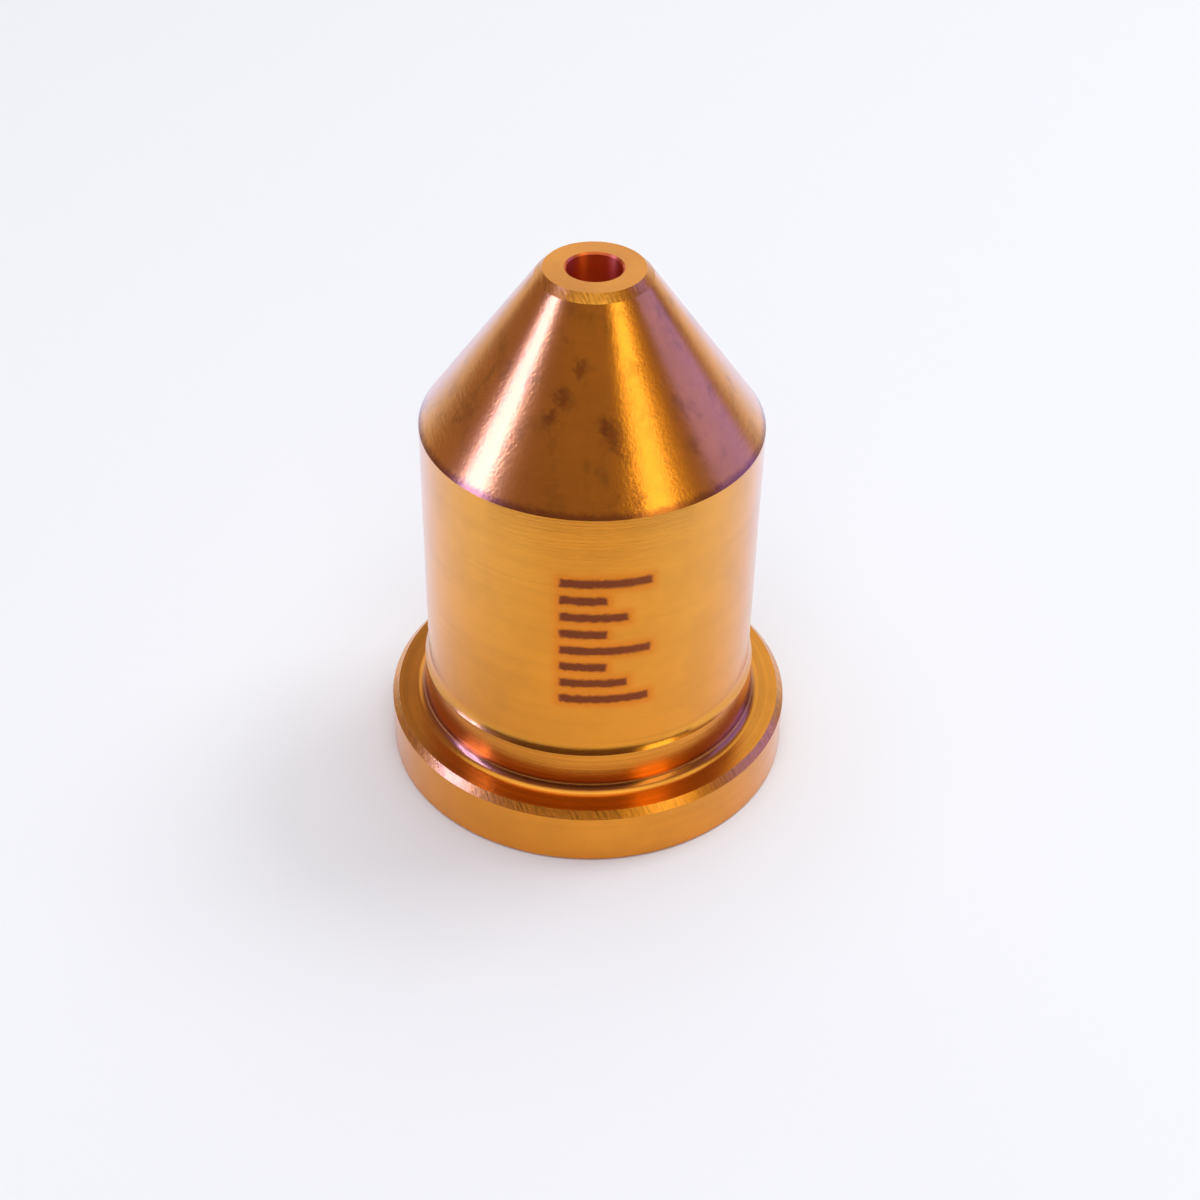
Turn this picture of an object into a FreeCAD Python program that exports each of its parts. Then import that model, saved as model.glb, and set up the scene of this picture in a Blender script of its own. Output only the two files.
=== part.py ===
import FreeCAD, Part
import math
import os

# Plasma torch nozzle, turned from one copper bar.
# Millimetres.  The axis is +Z, the tip is up and the origin is the centre of the
# base face that the flange stands on.

# ---- driving sizes ------------------------------------------------------------
total_height = 25.0        # base face to tip face
body_d = 15.0              # plain cylinder
cone_half_angle = 35.3     # outside of the nose, degrees from the axis
tip_d = 4.98               # where the nose cone ends
tip_chamfer = 0.33         # 45 degree edge between the cone and the tip face

flange_overhang = 1.8      # flange beyond the plain cylinder, on radius
flange_height = 2.82       # base face to the seat that the retaining cap clamps
flange_chamfer = 0.3       # 45 degree top edge of the flange
base_break = 0.12          # light edge break round the base

land_step = 0.18           # centring land beyond the plain cylinder, on radius
land_top = 4.90            # top edge of the land above the base
land_flare_r = 1.2         # tool nose radius that leaves the cylinder
root_fillet_r = 0.5        # fillet between the land and the flange

chamber_wall = 1.9         # body wall round the plasma chamber
seat_wall = 0.9            # body wall the swirl ring's counterbore would leave
seat_depth = 2.4           # depth of that counterbore
seat_lead_in = 0.3         # 45 degree mouth of the counterbore
throat_d = 1.6             # orifice that squeezes the arc
throat_length = 2.1
exit_d = 2.38              # wider mouth of the orifice at the tip face
exit_depth = 1.9
exit_break = 0.08          # edge break where the exit bore meets the tip face
inlet_half_angle = 45.0    # cone that leads from the chamber to the throat
chamber_end_r = 1.0        # blend where the chamber meets that cone
throat_entry_r = 0.35      # blend where that cone meets the throat

# ---- sizes that follow --------------------------------------------------------
body_r = body_d / 2.0
tip_r = tip_d / 2.0
flange_r = body_r + flange_overhang
land_r = body_r + land_step
chamber_r = body_r - chamber_wall
seat_r = body_r - seat_wall
throat_r = throat_d / 2.0
exit_r = exit_d / 2.0
tip_edge_z = total_height - tip_chamfer
cone_base_z = tip_edge_z - (body_r - tip_r) / math.tan(math.radians(cone_half_angle))
throat_top_z = total_height - exit_depth
throat_base_z = throat_top_z - throat_length
inlet_rise = (chamber_r - throat_r) / math.tan(math.radians(inlet_half_angle))
chamber_end_z = throat_base_z - inlet_rise


def at(radius, height):
    return FreeCAD.Vector(radius, 0.0, height)


def line(start, end):
    return Part.LineSegment(start, end).toShape()


def flare_drop(step, radius):
    # height over which a nose radius moves out by step, starting along the axis
    return math.sqrt(2.0 * radius * step - step * step)


def flare(start_r, start_z, step, radius):
    # concave arc: leaves the wall above it tangentially and stops after step
    swing = math.acos(1.0 - step / radius)
    points = []
    for share in (0.0, 0.5, 1.0):
        angle = swing * share
        out = radius * (1.0 - math.cos(angle))
        down = radius * math.sin(angle)
        points.append(at(start_r + out, start_z - down))
    return Part.Arc(points[0], points[1], points[2]).toShape()


def blend(before, corner, after, radius):
    # tangent arc in a corner: returns its two ends and the arc between them
    back = (before - corner).normalize()
    ahead = (after - corner).normalize()
    half = back.getAngle(ahead) / 2.0
    reach = radius / math.tan(half)
    middle = (back + ahead).normalize()
    centre = corner + middle * (radius / math.sin(half))
    first = corner + back * reach
    last = corner + ahead * reach
    top = centre - middle * radius
    return first, last, Part.Arc(first, top, last).toShape()


def outside_edges():
    # from the rim of the base up to the tip face
    land_flare_z = land_top + flare_drop(land_step, land_flare_r)
    flange_edge = at(flange_r - flange_chamfer, flange_height)
    root = at(land_r, flange_height)
    land_edge = at(land_r, land_top)
    root_a, root_b, root_fillet = blend(flange_edge, root, land_edge, root_fillet_r)
    return [
        line(at(flange_r - base_break, 0.0), at(flange_r, base_break)),
        line(at(flange_r, base_break), at(flange_r, flange_height - flange_chamfer)),
        line(at(flange_r, flange_height - flange_chamfer), flange_edge),
        line(flange_edge, root_a),
        root_fillet,
        line(root_b, land_edge),
        flare(body_r, land_flare_z, land_step, land_flare_r),
        line(at(body_r, land_flare_z), at(body_r, cone_base_z)),
        line(at(body_r, cone_base_z), at(tip_r, tip_edge_z)),
        line(at(tip_r, tip_edge_z), at(tip_r - tip_chamfer, total_height)),
    ]


def inside_edges():
    # from the tip face down through the orifice and the chamber to the base
    mouth = at(exit_r + exit_break, total_height)
    exit_top = at(exit_r, total_height - exit_break)
    exit_foot = at(exit_r, throat_top_z)
    throat_top = at(throat_r, throat_top_z)
    throat_foot = at(throat_r, throat_base_z)
    chamber_end = at(chamber_r, chamber_end_z)
    chamber_foot = at(chamber_r, seat_depth)
    entry_a, entry_b, entry = blend(throat_top, throat_foot, chamber_end, throat_entry_r)
    turn_a, turn_b, turn = blend(throat_foot, chamber_end, chamber_foot, chamber_end_r)
    seat_foot = at(seat_r, seat_depth)
    seat_edge = at(seat_r, seat_lead_in)
    rim = at(seat_r + seat_lead_in, 0.0)
    return [
        line(at(tip_r - tip_chamfer, total_height), mouth),
        line(mouth, exit_top),
        line(exit_top, exit_foot),
        line(exit_foot, throat_top),
        line(throat_top, entry_a),
        entry,
        line(entry_b, turn_a),
        turn,
        line(turn_b, chamber_foot),
        line(chamber_foot, seat_foot),
        line(seat_foot, seat_edge),
        line(seat_edge, rim),
        line(rim, at(flange_r - base_break, 0.0)),
    ]


def nozzle():
    edges = Part.sortEdges(outside_edges() + inside_edges())[0]
    section = Part.Face(Part.Wire(edges))
    turned = section.revolve(at(0.0, 0.0), FreeCAD.Vector(0.0, 0.0, 1.0), 360.0)
    return Part.Solid(turned.Shells[0])


os.makedirs("parts", exist_ok=True)
shape = nozzle()
shape.exportStep("parts/nozzle.step")
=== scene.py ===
import math
from functools import partial

import bmesh
import bpy
from mathutils import Matrix, Vector, noise


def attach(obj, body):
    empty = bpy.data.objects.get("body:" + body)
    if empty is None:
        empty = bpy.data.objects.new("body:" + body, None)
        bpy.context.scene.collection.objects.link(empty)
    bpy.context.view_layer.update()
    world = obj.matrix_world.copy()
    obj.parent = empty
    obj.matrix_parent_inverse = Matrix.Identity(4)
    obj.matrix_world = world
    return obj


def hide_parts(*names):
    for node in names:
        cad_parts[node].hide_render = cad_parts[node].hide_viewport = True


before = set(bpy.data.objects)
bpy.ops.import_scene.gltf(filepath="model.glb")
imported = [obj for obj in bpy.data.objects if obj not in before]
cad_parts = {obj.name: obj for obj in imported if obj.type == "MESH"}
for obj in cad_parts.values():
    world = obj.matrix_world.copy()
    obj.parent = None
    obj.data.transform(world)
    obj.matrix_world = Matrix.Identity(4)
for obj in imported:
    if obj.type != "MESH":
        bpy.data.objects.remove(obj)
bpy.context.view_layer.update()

MM = 0.001

# The CAD part's sizes, in millimetres.
HEIGHT, TIP_R, TIP_CHAMFER, CONE_ANGLE = 25.0, 2.49, 0.33, 35.3
BODY_R, LAND_R, LAND_TOP, LAND_FLARE_R, ROOT_R = 7.5, 7.68, 4.90, 1.2, 0.5
FLANGE_R, FLANGE_Z, FLANGE_CHAMFER, BASE_BREAK = 9.3, 2.82, 0.3, 0.12
SEAT_R, SEAT_DEPTH, SEAT_LEAD, CHAMBER_R, CHAMBER_END_R = 6.6, 2.4, 0.3, 5.6, 1.0
THROAT_R, THROAT_LOW, THROAT_HIGH, THROAT_ENTRY_R = 0.8, 21.0, 23.1, 0.35
EXIT_R, EXIT_BREAK = 1.19, 0.08
CONE_BASE = HEIGHT - TIP_CHAMFER - (BODY_R - TIP_R) / math.tan(math.radians(CONE_ANGLE))

# How finely it is turned, and the edges that stay sharp.
OUTER_SIDES, INNER_SIDES = 1024, 256
SHARP_EDGE = math.radians(8.5)


# ---------------------------------------------------------------- the turned piece
def arc(centre_r, centre_z, radius, start, end, steps):
    """Points on an arc in the half section. Angles in degrees from +r towards +z."""
    angles = [math.radians(start + (end - start) * i / steps) for i in range(steps + 1)]
    return [(centre_r + radius * math.cos(a), centre_z + radius * math.sin(a)) for a in angles]


def straight(start, end, steps):
    """Points from start to end, end left out."""
    return [tuple(p + (q - p) * i / steps for p, q in zip(start, end)) for i in range(steps)]


def outer_profile():
    """(zone, points) from the tip face's outer edge down to the base's outer edge."""
    flare = math.degrees(math.acos(1 - (LAND_R - BODY_R) / LAND_FLARE_R))
    flare_points = arc(BODY_R + LAND_FLARE_R, LAND_TOP + LAND_FLARE_R * math.sin(math.radians(flare)),
                       LAND_FLARE_R, 180, 180 + flare, 12)
    root = arc(LAND_R + ROOT_R, FLANGE_Z + ROOT_R, ROOT_R, 180, 270, 24)
    tip = [(TIP_R - TIP_CHAMFER, HEIGHT), (TIP_R, HEIGHT - TIP_CHAMFER)]
    rim = [(FLANGE_R - FLANGE_CHAMFER, FLANGE_Z), (FLANGE_R, FLANGE_Z - FLANGE_CHAMFER)]
    foot = [(FLANGE_R, BASE_BREAK), (FLANGE_R - BASE_BREAK, 0.0)]
    return [
        ("chamfer", straight(*tip, 4) + [tip[1]]),
        ("cone", [tip[1], (BODY_R, CONE_BASE)]),
        ("turned", [(BODY_R, CONE_BASE), flare_points[0]]),
        ("foot", flare_points + root),
        ("foot", [root[-1], rim[0]]),
        ("chamfer", straight(*rim, 4) + [rim[1]]),
        ("turned", [rim[1], foot[0]]),
        ("turned", foot),
    ]


def inner_profile():
    """(zone, points) from the exit bore's edge break down the through section to the seat."""
    inlet = (CHAMBER_R, THROAT_LOW - (CHAMBER_R - THROAT_R))
    half = CHAMBER_END_R * math.tan(math.radians(22.5))
    entry = THROAT_ENTRY_R * math.tan(math.radians(22.5))
    chamber_end = arc(CHAMBER_R - CHAMBER_END_R, inlet[1] - half, CHAMBER_END_R, 45, 0, 8)
    throat_entry = arc(THROAT_R + THROAT_ENTRY_R, THROAT_LOW + entry, THROAT_ENTRY_R, 180, 225, 6)
    return [
        ("bore", [(EXIT_R + EXIT_BREAK, HEIGHT), (EXIT_R, HEIGHT - EXIT_BREAK)]),
        ("bore", [(EXIT_R, HEIGHT - EXIT_BREAK), (EXIT_R, THROAT_HIGH)]),
        ("bore", [(EXIT_R, THROAT_HIGH), (THROAT_R, THROAT_HIGH)]),
        ("bore", [(THROAT_R, THROAT_HIGH)] + throat_entry + chamber_end + [(CHAMBER_R, SEAT_DEPTH)]),
        ("bore", [(CHAMBER_R, SEAT_DEPTH), (SEAT_R, SEAT_DEPTH)]),
        ("bore", [(SEAT_R, SEAT_DEPTH), (SEAT_R, SEAT_LEAD)]),
        ("bore", [(SEAT_R, SEAT_LEAD), (SEAT_R + SEAT_LEAD, 0.0)]),
    ]


def chatter(angle, way, r):
    """Depth in mm of the tool's chatter at a chamfer: short slanted dips of uneven length."""
    along = angle * r
    dip = noise.noise(Vector((along * 3.4 + way * 1.3, way * 0.8, r)))
    fine = noise.noise(Vector((along * 8.0 + way * 2.0, way * 1.7, r + 5)))
    return 0.006 * abs(dip) + 0.003 * abs(fine)


def ring(bm, r, z, sides, dent=None):
    """One ring of vertices. dent gives the depth in mm at an angle, cut square to a 45 degree face."""
    share = 0.7    # of the depth, inwards and downwards alike
    verts = []
    for k in range(sides):
        angle = math.tau * k / sides
        depth = dent(angle) if dent else 0.0
        radius, height = r - depth * share, z - depth * share
        x, y = radius * math.sin(angle), -radius * math.cos(angle)
        verts.append(bm.verts.new((x * MM, y * MM, height * MM)))
    return verts


def bridge(bm, upper, lower, slot):
    """Faces between two rings, facing outwards when upper is the ring met first on the way out."""
    step, fine = len(upper) // len(lower), len(upper)
    for k in range(len(lower)):
        a, b = lower[k], lower[(k + 1) % len(lower)]
        rim = [upper[(k * step + i) % fine] for i in range(step + 1)]
        if step == 1:
            faces = [(rim[0], a, b, rim[1])]
        else:
            middle = step // 2
            faces = [(rim[i], a, rim[i + 1]) for i in range(middle)]
            faces += [(rim[middle], a, b)]
            faces += [(rim[i], b, rim[i + 1]) for i in range(middle, step)]
        for corners in faces:
            face = bm.faces.new(corners)
            face.material_index = slot
            face.smooth = True


def lathe(bm, spans, sides, slots):
    """Turns (zone, points) spans into rings and faces. Returns the first and the last ring."""
    touching = 1e-6    # mm
    first = last = last_point = None
    for zone, points in spans:
        for i, point in enumerate(points):
            if last is not None and math.dist(point, last_point) < touching:
                continue
            dent = None
            if zone == "chamfer" and 0 < i < len(points) - 1:
                dent = partial(chatter, way=i / (len(points) - 1), r=point[0])
            made = ring(bm, *point, sides, dent)
            if last is None:
                first = made
            else:
                bridge(bm, last, made, slots.index(zone))
            last, last_point = made, point
    return first, last


def nozzle_mesh(materials):
    """One closed mesh: outside, tip face, through section and base."""
    slots = list(materials)
    bm = bmesh.new()
    top_out, base_out = lathe(bm, outer_profile(), OUTER_SIDES, slots)
    top_in, base_in = lathe(bm, inner_profile(), INNER_SIDES, slots)
    bridge(bm, top_out, top_in, slots.index("tip"))
    bridge(bm, base_out, base_in, slots.index("foot"))
    bmesh.ops.recalc_face_normals(bm, faces=bm.faces)
    cut = slots.index("chamfer")
    for edge in bm.edges:
        rough_cut = all(face.material_index == cut for face in edge.link_faces)
        if edge.calc_face_angle(0) > SHARP_EDGE and not rough_cut:
            edge.smooth = False
    mesh = bpy.data.meshes.new("nozzle_turned")
    bm.to_mesh(mesh)
    bm.free()
    for material in materials.values():
        mesh.materials.append(material)
    return mesh


# ---------------------------------------------------------------- node helpers
class Nodes:
    """Short calls for building one node tree."""

    def __init__(self, tree):
        self.tree = tree
        tree.nodes.clear()

    def new(self, kind, inputs=(), **settings):
        node = self.tree.nodes.new(kind)
        for name, value in settings.items():
            setattr(node, name, value)
        for key, value in dict(inputs).items():
            self.set(node.inputs[key], value)
        return node

    def set(self, socket, value):
        if isinstance(value, bpy.types.NodeSocket):
            self.tree.links.new(value, socket)
        elif isinstance(value, (tuple, list)) and len(value) == 3 and socket.type == "RGBA":
            socket.default_value = (*value, 1.0)
        else:
            socket.default_value = value

    def math(self, operation, *values, clamp=False):
        return self.new("ShaderNodeMath", enumerate(values), operation=operation, use_clamp=clamp).outputs[0]

    def ramp(self, value, low, high, to_low=0.0, to_high=1.0, smooth=True):
        kind = "SMOOTHSTEP" if smooth else "LINEAR"
        inputs = {"Value": value, "From Min": low, "From Max": high, "To Min": to_low, "To Max": to_high}
        return self.new("ShaderNodeMapRange", inputs, interpolation_type=kind).outputs[0]

    def mix(self, factor, a, b):
        node = self.new("ShaderNodeMix", data_type="RGBA")
        for key, value in ((0, factor), (6, a), (7, b)):
            self.set(node.inputs[key], value)
        return node.outputs[2]

    def band(self, value, centre, half, soft):
        """1 within half of centre, 0 beyond half + soft."""
        away = self.math("ABSOLUTE", self.math("SUBTRACT", value, centre))
        return self.ramp(away, half, half + soft, 1.0, 0.0)

    def noise(self, vector, scale, detail=2.0, rough=0.5):
        inputs = {"Vector": vector, "Scale": scale, "Detail": detail, "Roughness": rough}
        return self.new("ShaderNodeTexNoise", inputs).outputs[0]

    def vector(self, x, y, z):
        return self.new("ShaderNodeCombineXYZ", {0: x, 1: y, 2: z}).outputs[0]


# ---------------------------------------------------------------- copper
COPPER = (0.83, 0.310, 0.022)
BORE_COPPER = (0.88, 0.17, 0.03)    # redder, from light that bounces inside the bore
# A dark brown used for real stains on the cone and for painted shade at the cone's foot and in the root
# corner.
STAIN_AND_SHADE_BROWN = (0.26, 0.062, 0.012)
MARK, MARK_HALO = (0.22, 0.040, 0.006), (0.74, 0.190, 0.003)
# zone: roughness, its spread, anisotropy, depth of the turning lines, depth of the grain
FINISH = {
    "tip": (0.22, 0.06, 0.60, 0.005, 0.004),
    "chamfer": (0.27, 0.08, 0.30, 0.002, 0.008),
    "cone": (0.22, 0.08, 0.50, 0.008, 0.008),
    "turned": (0.18, 0.07, 0.70, 0.006, 0.004),
    "foot": (0.19, 0.07, 0.60, 0.004, 0.003),
    "bore": (0.42, 0.06, 0.85, 0.004, 0.002),
}
# Dark spots on the cone: degrees round from the front, height in mm, radius in mm.
CONE_SPOTS = [
    (-15, 21.5, 0.42), (-19, 20.9, 0.30), (9, 20.3, 0.50),
    (5, 20.7, 0.30), (-7, 22.6, 0.28), (16, 18.2, 0.35),
]
# The index scale, in mm: the ticks' left end, and each tick's height and length.
TICK_START = -1.25
TICKS = [
    (14.35, 3.9), (13.45, 2.0), (12.55, 2.9), (11.65, 2.0),
    (10.75, 3.9), (9.85, 2.0), (8.95, 2.9), (8.05, 3.9),
]
# Painted shade in the root corner, in mm: its height, half its width, and its soft edge.
ROOT_PAINTED_SHADE = (3.12, 0.12, 0.20)


def shade(colour, amount):
    return tuple(c * amount for c in colour)


def copper(name, zone):
    """Turned copper, as it is in one zone of the piece. The tree works in mm."""
    rough_base, rough_spread, stretch, line_depth, grain_depth = FINISH[zone]
    material = bpy.data.materials.new(name)
    material.use_nodes = True
    n = Nodes(material.node_tree)
    place = n.new("ShaderNodeTexCoord").outputs["Object"]
    axes = n.new("ShaderNodeSeparateXYZ", {0: place})
    x = n.math("MULTIPLY", axes.outputs[0], 1000.0)
    front = n.math("MULTIPLY", axes.outputs[1], -1000.0)
    z = n.math("MULTIPLY", axes.outputs[2], 1000.0)
    angle = n.math("ARCTAN2", x, front)
    radius = n.math("SQRT", n.math("ADD", n.math("MULTIPLY", x, x), n.math("MULTIPLY", front, front)))
    section = n.math("ADD", z, radius)

    def round_axis(length, pitch):
        """A place for noise drawn out round the axis: streaks of a length on the body, in mm,
        at a pitch along the section, in mm."""
        k = BODY_R / length
        return n.vector(n.math("MULTIPLY", n.math("SINE", angle), k),
                        n.math("MULTIPLY", n.math("COSINE", angle), k),
                        n.math("DIVIDE", section, pitch))

    fine_lines = n.noise(round_axis(3.0, 0.10), 1.0, 3.0, 0.6)
    broad_lines = n.noise(round_axis(9.0, 0.55), 1.0, 4.0, 0.6)
    grain = n.noise(n.vector(x, front, z), 7.0, 3.0, 0.65)
    cloud = n.noise(n.vector(x, front, z), 0.45, 4.0, 0.6)
    metal = BORE_COPPER if zone == "bore" else COPPER
    colour = n.mix(n.ramp(cloud, 0.38, 0.66), metal, shade(metal, 0.92))
    colour = n.mix(n.math("MULTIPLY", n.ramp(broad_lines, 0.45, 0.75), 0.25), colour, shade(metal, 0.72))
    uneven = n.math("MULTIPLY", n.math("SUBTRACT", broad_lines, 0.5), rough_spread)
    rough = n.math("ADD", rough_base, uneven)
    height = n.math("ADD", n.math("MULTIPLY", fine_lines, line_depth),
                    n.math("MULTIPLY", grain, grain_depth))
    if zone == "chamfer":
        colour, height = tool_strokes(n, angle, radius, z, colour, height)
    if zone == "cone":
        colour = cone_stains_and_edge_shade(n, angle, x, front, z, colour)
    if zone == "turned":
        colour, rough = etched_scale(n, angle, z, front, colour, rough)
    if zone == "foot":
        rings = n.noise(round_axis(14.0, 0.16), 1.0, 2.0, 0.5)
        # Painted shade: the concave root fillet is darkened where the corner falls into shade.
        painted_root_shade = n.band(z, *ROOT_PAINTED_SHADE)
        colour = n.mix(n.math("MULTIPLY", n.ramp(rings, 0.42, 0.62), 0.35), colour, shade(COPPER, 0.6))
        colour = n.mix(n.math("MULTIPLY", painted_root_shade, 0.7), colour, STAIN_AND_SHADE_BROWN)
    bump = n.new("ShaderNodeBump", {"Strength": 1.0, "Distance": MM, "Height": height})
    tangent = n.new("ShaderNodeTangent", direction_type="RADIAL", axis="Z")
    shader = n.new("ShaderNodeBsdfPrincipled", {
        "Base Color": colour, "Metallic": 1.0, "Roughness": rough, "Normal": bump.outputs[0],
        "Tangent": tangent.outputs[0], "Anisotropic": stretch, "Anisotropic Rotation": 0.25,
        "Coat Weight": 0.3, "Coat Roughness": 0.22, "Coat IOR": 1.5})
    n.new("ShaderNodeOutputMaterial", {"Surface": shader.outputs[0]})
    return material


def tool_strokes(n, angle, radius, z, colour, height):
    """Short slanted strokes that the chamfering tool left."""
    along = n.math("MULTIPLY", angle, radius)
    slant = n.math("ADD", along, n.math("MULTIPLY", z, 0.7))
    across, down = n.math("MULTIPLY", slant, 9.0), n.math("MULTIPLY", z, 1.6)
    strokes = n.noise(n.vector(across, down, 0.0), 1.0, 3.0, 0.6)
    colour = n.mix(n.ramp(strokes, 0.32, 0.55), shade(COPPER, 0.62), colour)
    return colour, n.math("ADD", height, n.math("MULTIPLY", strokes, 0.010))


def cone_stains_and_edge_shade(n, angle, x, front, z, colour):
    """Smudges and a few dark spots, which are stains, and a darker rim at the foot of the cone, which is
    painted shade for a small edge break.
    """
    smear = n.noise(n.vector(x, front, n.math("MULTIPLY", z, 0.6)), 0.9, 5.0, 0.62)
    colour = n.mix(n.math("MULTIPLY", n.ramp(smear, 0.50, 0.72), 0.55), colour, shade(COPPER, 0.5))
    edge = n.noise(n.vector(x, front, z), 2.6, 4.0, 0.7)
    ragged = n.math("MULTIPLY", n.math("SUBTRACT", edge, 0.5), 1.1)
    for degrees, level, size in CONE_SPOTS:
        reach = BODY_R - (level - CONE_BASE) * math.tan(math.radians(CONE_ANGLE))
        across = n.math("MULTIPLY", n.math("SUBTRACT", angle, math.radians(degrees)), reach)
        along = n.math("MULTIPLY", n.math("SUBTRACT", z, level), 0.9)
        squares = n.math("ADD", n.math("MULTIPLY", across, across), n.math("MULTIPLY", along, along))
        away = n.math("ADD", n.math("SQRT", squares), ragged)
        spot = n.ramp(away, size * 0.1, size * 1.35, 0.6, 0.0)
        colour = n.mix(spot, colour, STAIN_AND_SHADE_BROWN)
    # The rim is painted shade: it darkens the cone's foot where a small edge break would show a dark
    # reflection.
    level = n.math("ADD", z, n.math("MULTIPLY", ragged, 0.35))
    rim = n.ramp(level, CONE_BASE + 0.06, CONE_BASE + 0.34, 0.75, 0.0)
    return n.mix(rim, colour, STAIN_AND_SHADE_BROWN)


def etched_scale(n, angle, z, front, colour, rough):
    """A plain index scale of ticks, laser-etched on the front of the body."""
    wobble = n.noise(n.vector(n.math("MULTIPLY", angle, BODY_R), z, 0.0), 3.5, 3.0, 0.6)
    shift = n.math("MULTIPLY", n.math("SUBTRACT", wobble, 0.5), 0.22)
    along = n.math("ADD", n.math("MULTIPLY", angle, BODY_R), shift)
    up = n.math("ADD", z, shift)
    mark = halo = None
    for level, length in TICKS:
        half = length / 2
        centre = TICK_START + half
        tick = n.math("MULTIPLY", n.band(along, centre, half - 0.08, 0.18), n.band(up, level, 0.12, 0.18))
        glow = n.math("MULTIPLY", n.band(along, centre, half, 0.5), n.band(up, level, 0.2, 0.5))
        mark = tick if mark is None else n.math("MAXIMUM", mark, tick)
        halo = glow if halo is None else n.math("MAXIMUM", halo, glow)
    facing = n.ramp(front, 1.0, 2.0)    # keeps the scale off the back
    mark, halo = n.math("MULTIPLY", mark, facing), n.math("MULTIPLY", halo, facing)
    colour = n.mix(n.math("MULTIPLY", halo, 0.8), colour, MARK_HALO)
    colour = n.mix(n.math("MULTIPLY", mark, 0.9), colour, MARK)
    return colour, n.math("ADD", rough, n.math("MULTIPLY", mark, 0.25))


# ---------------------------------------------------------------- light
# Name, azimuth and elevation in degrees, distance and size in metres, radiance, what it lights.
LAMPS = [
    ("key", 120, 55, 0.40, (0.16, 0.16), (4.6, 4.9, 5.1), "diffuse"),
    ("front_fill", 0, 50, 0.40, (0.30, 0.30), (1.15, 1.22, 1.30), "diffuse"),
    ("left_near", -74, 20, 0.40, (0.036, 0.30), (4.4, 6.0, 46.0), "gloss"),
    ("left_far", -83, 18, 0.40, (0.040, 0.28), (3.4, 4.7, 38.0), "gloss"),
    ("left_glow", -76, 20, 0.41, (0.20, 0.34), (0.12, 0.20, 1.5), "gloss"),
    ("warm", 45, 22, 0.40, (0.13, 0.34), (1.65, 1.60, 1.1), "gloss"),
    ("warm_halo", 48, 22, 0.41, (0.26, 0.36), (0.38, 0.33, 0.09), "gloss"),
    ("mauve", 103, 15, 0.40, (0.24, 0.30), (0.19, 0.29, 4.2), "gloss"),
]


def heading(azimuth, elevation=0.0):
    """Unit vector. Azimuth is in degrees from the photograph's side of the object, towards +X."""
    a, e = math.radians(azimuth), math.radians(elevation)
    return (math.sin(a) * math.cos(e), -math.cos(a) * math.cos(e), math.sin(e))


def studio_world():
    """Pale behind and above, and a dim room in front and at the sides, darkest low in front.
    The camera itself sees a plain near-white."""
    world = bpy.data.worlds.new("studio")
    world.use_nodes = True
    n = Nodes(world.node_tree)
    way = n.new("ShaderNodeTexCoord").outputs["Generated"]
    flat = n.new("ShaderNodeVectorMath", {0: way, 1: (1.0, 1.0, 0.0)}, operation="MULTIPLY").outputs[0]
    level = n.new("ShaderNodeVectorMath", {0: flat}, operation="NORMALIZE").outputs[0]
    rise = n.new("ShaderNodeSeparateXYZ", {0: way}).outputs[2]

    def towards(azimuth, inner, outer):
        """1 within inner degrees of a heading, 0 beyond outer degrees."""
        inputs = {0: level, 1: heading(azimuth)}
        dot = n.new("ShaderNodeVectorMath", inputs, operation="DOT_PRODUCT").outputs["Value"]
        return n.ramp(dot, math.cos(math.radians(outer)), math.cos(math.radians(inner)))

    def above(low, high):
        """0 below low degrees over the horizon, 1 above high degrees."""
        return n.ramp(rise, math.sin(math.radians(low)), math.sin(math.radians(high)))

    dark, dim, pale = (0.11, 0.075, 0.08), (0.32, 0.225, 0.24), (0.95, 0.97, 1.0)
    ceiling, zenith = (1.25, 1.36, 1.45), (1.7, 1.85, 1.95)
    sky = n.mix(n.math("MULTIPLY", towards(0, 40, 62), above(32, 18)), dim, dark)
    sky = n.mix(towards(180, 36, 52), sky, pale)
    sky = n.mix(n.math("MULTIPLY", towards(-148, 26, 36), above(31, 37)), sky, dim)
    sky = n.mix(above(54, 58), sky, ceiling)
    sky = n.mix(above(66, 80), sky, zenith)
    camera_ray = n.new("ShaderNodeLightPath").outputs["Is Camera Ray"]
    seen = n.mix(camera_ray, sky, (0.93, 0.935, 0.94))
    light = n.new("ShaderNodeBackground", {"Color": seen})
    n.new("ShaderNodeOutputWorld", {"Surface": light.outputs[0]})
    bpy.context.scene.world = world


def lamp(name, azimuth, elevation, away, size, glow, seen_by):
    """A rectangular lamp facing the object from a heading. glow is its radiance, and away and
    size are in metres. seen_by is gloss or diffuse, the kind of surface that it lights."""
    data = bpy.data.lights.new(name, "AREA")
    data.shape, data.size, data.size_y = "RECTANGLE", *size
    data.energy = max(glow) * math.pi * size[0] * size[1]
    data.color = [c / max(glow) for c in glow]
    aim = Vector((0, 0, 0.01))
    place = Vector(heading(azimuth, elevation)) * away + aim
    made = bpy.data.objects.new(name, data)
    bpy.context.collection.objects.link(made)
    made.location = place
    made.rotation_euler = (place - aim).to_track_quat("Z", "Y").to_euler()
    made.visible_camera = False
    made.visible_diffuse = seen_by != "gloss"
    made.visible_glossy = seen_by != "diffuse"


def stage_piece(name, verts, faces, material, only_metal=True):
    """A floor or card that isn't part of the object. only_metal keeps it to glossy rays."""
    mesh = bpy.data.meshes.new(name)
    mesh.from_pydata(verts, [], faces)
    mesh.materials.append(material)
    made = bpy.data.objects.new(name, mesh)
    bpy.context.collection.objects.link(made)
    if only_metal:
        made.visible_camera = made.visible_diffuse = made.visible_shadow = False


def square(half, z):
    """Corners of a level square round the axis, in metres."""
    return [(-half, -half, z), (half, -half, z), (half, half, z), (-half, half, z)]


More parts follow.
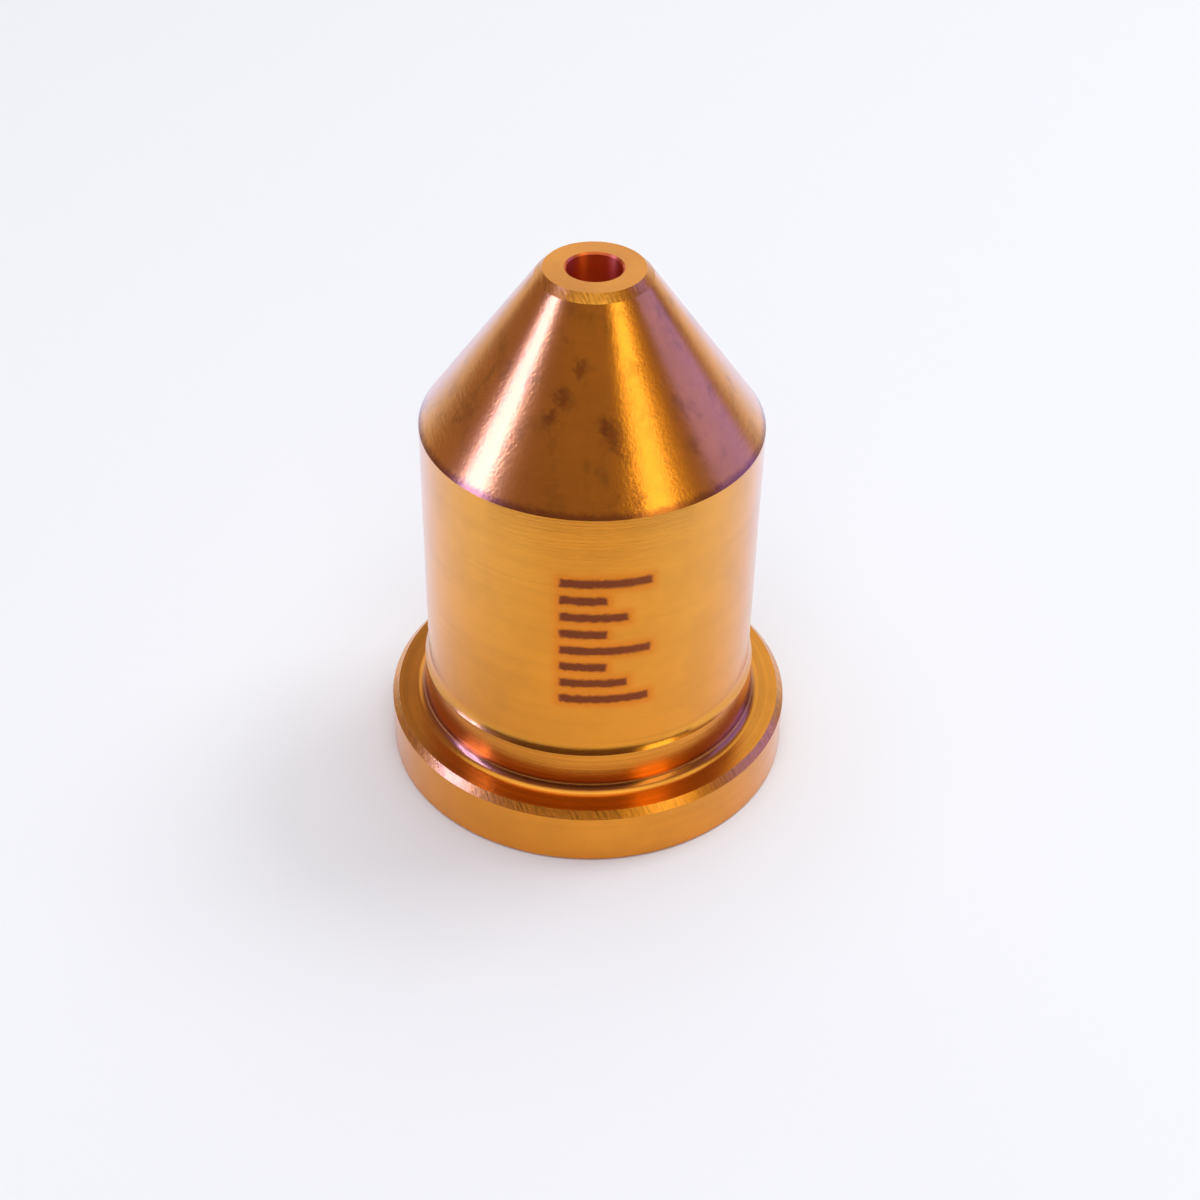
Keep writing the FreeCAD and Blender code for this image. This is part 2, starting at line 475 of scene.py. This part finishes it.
def studio_floor():
    """Plain pale paper."""
    material = bpy.data.materials.new("floor_paper")
    material.use_nodes = True
    n = Nodes(material.node_tree)
    shader = n.new("ShaderNodeBsdfPrincipled", {
        "Base Color": (0.90, 0.90, 0.905), "Roughness": 0.7, "Specular IOR Level": 0.0})
    n.new("ShaderNodeOutputMaterial", {"Surface": shader.outputs[0]})
    stage_piece("floor", square(1.5, 0.0), [(0, 1, 2, 3)], material, only_metal=False)


def side_glow():
    """The overexposed floor at the sides, which only the metal sees: clear near the object,
    brighter further out."""
    material = bpy.data.materials.new("side_glow")
    material.use_nodes = True
    n = Nodes(material.node_tree)
    place = n.new("ShaderNodeTexCoord").outputs["Object"]
    across = n.math("ABSOLUTE", n.new("ShaderNodeSeparateXYZ", {0: place}).outputs[0])
    strength = n.ramp(across, 0.006, 0.030)
    glow = n.new("ShaderNodeEmission", {"Color": (0.03, 0.22, 0.75), "Strength": strength})
    clear = n.new("ShaderNodeBsdfTransparent")
    both = n.new("ShaderNodeAddShader", {0: glow.outputs[0], 1: clear.outputs[0]})
    n.new("ShaderNodeOutputMaterial", {"Surface": both.outputs[0]})
    stage_piece("side_glow", square(0.1, MM * 0.2), [(0, 1, 2, 3)], material)


def front_flag():
    """A low dark card round the front, as a photographer stands one up: only the metal sees it."""
    material = bpy.data.materials.new("flag")
    material.use_nodes = True
    n = Nodes(material.node_tree)
    glow = n.new("ShaderNodeEmission", {"Color": (0.12, 0.085, 0.09)})
    n.new("ShaderNodeOutputMaterial", {"Surface": glow.outputs[0]})
    away, tall, lean, reach, steps = 0.036, 0.005, 1.25, 62, 32
    verts = []
    for i in range(steps + 1):
        x, y, _ = (away * c for c in heading(-reach + 2 * reach * i / steps))
        verts += [(x, y, 0.0), (x * lean, y * lean, tall)]
    faces = [(2 * i, 2 * i + 2, 2 * i + 3, 2 * i + 1) for i in range(steps)]
    stage_piece("flag", verts, faces, material)


def photo_camera():
    """The photograph's lens in mm, place in metres and tilt in degrees."""
    lens, place = 59.871, Vector((0.0, -0.072445, 0.065045))
    pitch, yaw, roll = (math.radians(a) for a in (38.408, 0.386, 1.134))
    ahead = Vector((math.sin(yaw) * math.cos(pitch), math.cos(yaw) * math.cos(pitch), -math.sin(pitch)))
    right = Vector((math.cos(yaw), -math.sin(yaw), 0))
    up = right.cross(ahead)
    c, s = math.cos(roll), math.sin(roll)
    right, up = c * right + s * up, c * up - s * right
    data = bpy.data.cameras.new("camera")
    data.sensor_width, data.lens, data.clip_start = 36.0, lens, 0.001
    camera = bpy.data.objects.new("camera", data)
    bpy.context.collection.objects.link(camera)
    turn = Matrix((right, up, -ahead)).transposed().to_4x4()
    turn.translation = place
    camera.matrix_world = turn
    bpy.context.scene.camera = camera


# ---------------------------------------------------------------- build
coppers = {zone: copper("copper_" + zone, zone) for zone in FINISH}
nozzle = bpy.data.objects.new("nozzle_turned", nozzle_mesh(coppers))
bpy.context.collection.objects.link(nozzle)
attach(nozzle, "root")
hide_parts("nozzle")

studio_floor()
side_glow()
front_flag()
studio_world()
for row in LAMPS:
    lamp(*row)
photo_camera()
bpy.context.scene.view_settings.view_transform = "Standard"
